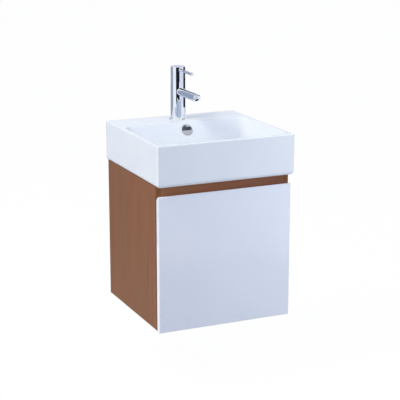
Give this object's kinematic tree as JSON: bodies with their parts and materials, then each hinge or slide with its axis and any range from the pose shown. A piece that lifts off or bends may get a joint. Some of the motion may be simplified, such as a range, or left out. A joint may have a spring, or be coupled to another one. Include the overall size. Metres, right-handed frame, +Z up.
{
  "type": "vanity unit with basin",
  "caption": "Wall-hung vanity unit: rectangular glazed basin with overflow and single-lever mixer tap on a wood-faced cabinet with a full-height gloss pull-out drawer.",
  "frame": {"origin": "midway between the two wall screw holes of the hanging rail, on the wall plane", "axes": "+Z up, +X to the right seen from the front, +Y into the wall; the front faces -Y"},
  "size_m": [0.48, 0.46, 0.798],
  "materials": {
    "glazed_ceramic": "gloss glaze",
    "chrome": "polished",
    "wood_veneer": "satin wood grain",
    "white_lacquer": "gloss lacquer",
    "white_board": "satin melamine",
    "beech": "plain",
    "zinc_steel": "zinc plated",
    "brass": "turned",
    "white_plastic": "moulded",
    "grey_plastic": "moulded",
    "rubber": "matt",
    "clear_rubber": "soft"
  },
  "bodies": {
    "cabinet": {"basin": "glazed_ceramic", "overflow_ring": "chrome", "tap_base_ring": "chrome", "tap_body": "chrome", "aerator_housing": "chrome", "waste_body": "chrome", "left_side_panel": "wood_veneer", "right_side_panel": "wood_veneer", "front_rail": "wood_veneer", "bottom_panel": "white_board", "hanging_rail": "white_board", "lower_back_rail": "white_board", "carcass_dowels": "beech", "runner_outer_left": "zinc_steel", "runner_outer_right": "zinc_steel", "runner_outer_screws": "zinc_steel", "tap_clamp_washer": "zinc_steel", "tap_shank": "brass", "tap_clamp_nut": "brass", "cartridge_nut": "brass", "waste_back_nut": "brass", "plug_guide": "brass", "trap_union_nut": "white_plastic", "trap_dip_tube": "white_plastic", "trap_top_nut": "white_plastic", "trap_body": "white_plastic", "trap_cup": "white_plastic", "trap_outlet_nut": "white_plastic", "trap_outlet_pipe": "white_plastic", "cartridge_housing": "grey_plastic", "aerator_insert": "grey_plastic", "tap_base_gasket": "rubber", "waste_top_seal": "rubber", "waste_bottom_seal": "rubber"},
    "drawer": {"drawer_front": "white_lacquer", "drawer_inner_front": "white_board", "drawer_side_left": "white_board", "drawer_side_right": "white_board", "drawer_back_left": "white_board", "drawer_back_right": "white_board", "drawer_recess_left": "white_board", "drawer_recess_right": "white_board", "drawer_recess_front": "white_board", "drawer_bottom": "white_board", "runner_inner_left": "zinc_steel", "runner_inner_right": "zinc_steel", "runner_inner_screws": "zinc_steel", "drawer_front_screws": "zinc_steel", "drawer_bumpers": "clear_rubber"},
    "runner_middle": {"runner_middle_left": "zinc_steel", "runner_middle_right": "zinc_steel"},
    "outer_ball_cages": {"runner_outer_cages": "zinc_steel"},
    "inner_ball_cages": {"runner_inner_cages": "zinc_steel"},
    "handle_carrier": {"cartridge_carrier": "grey_plastic"},
    "handle": {"cartridge_spindle": "brass", "handle_cap": "chrome", "lever_pin": "chrome", "handle_grub_screw": "zinc_steel"},
    "plug": {"plug_cap": "chrome", "plug_stem": "brass"}
  },
  "joints": [
    {"name": "drawer_slide", "type": "slide", "parent": "cabinet", "child": "drawer", "axis": [0, -1, 0], "range_m": [0, 0.36]},
    {"name": "runner_middle_slide", "type": "slide", "parent": "cabinet", "child": "runner_middle", "axis": [0, -1, 0], "range_m": [0, 0.18]},
    {"name": "outer_cage_slide", "type": "slide", "parent": "cabinet", "child": "outer_ball_cages", "axis": [0, -1, 0], "range_m": [0, 0.09]},
    {"name": "inner_cage_slide", "type": "slide", "parent": "cabinet", "child": "inner_ball_cages", "axis": [0, -1, 0], "range_m": [0, 0.27]},
    {"name": "handle_swivel", "type": "hinge", "parent": "cabinet", "child": "handle_carrier", "pos_m": [0, -0.062, 0.334], "axis": [0, 0, 1], "range_deg": [-50, 50]},
    {"name": "handle_lift", "type": "hinge", "parent": "handle_carrier", "child": "handle", "pos_m": [0, -0.062, 0.334], "axis": [-1, 0, 0], "range_deg": [0, 20]},
    {"name": "plug_travel", "type": "slide", "parent": "cabinet", "child": "plug", "axis": [0, 0, 1], "range_m": [0, 0.008]}
  ],
  "couplings": [
    {"joint": "runner_middle_slide", "follows": "drawer_slide", "ratio": 0.5},
    {"joint": "outer_cage_slide", "follows": "drawer_slide", "ratio": 0.25},
    {"joint": "inner_cage_slide", "follows": "drawer_slide", "ratio": 0.75}
  ]
}
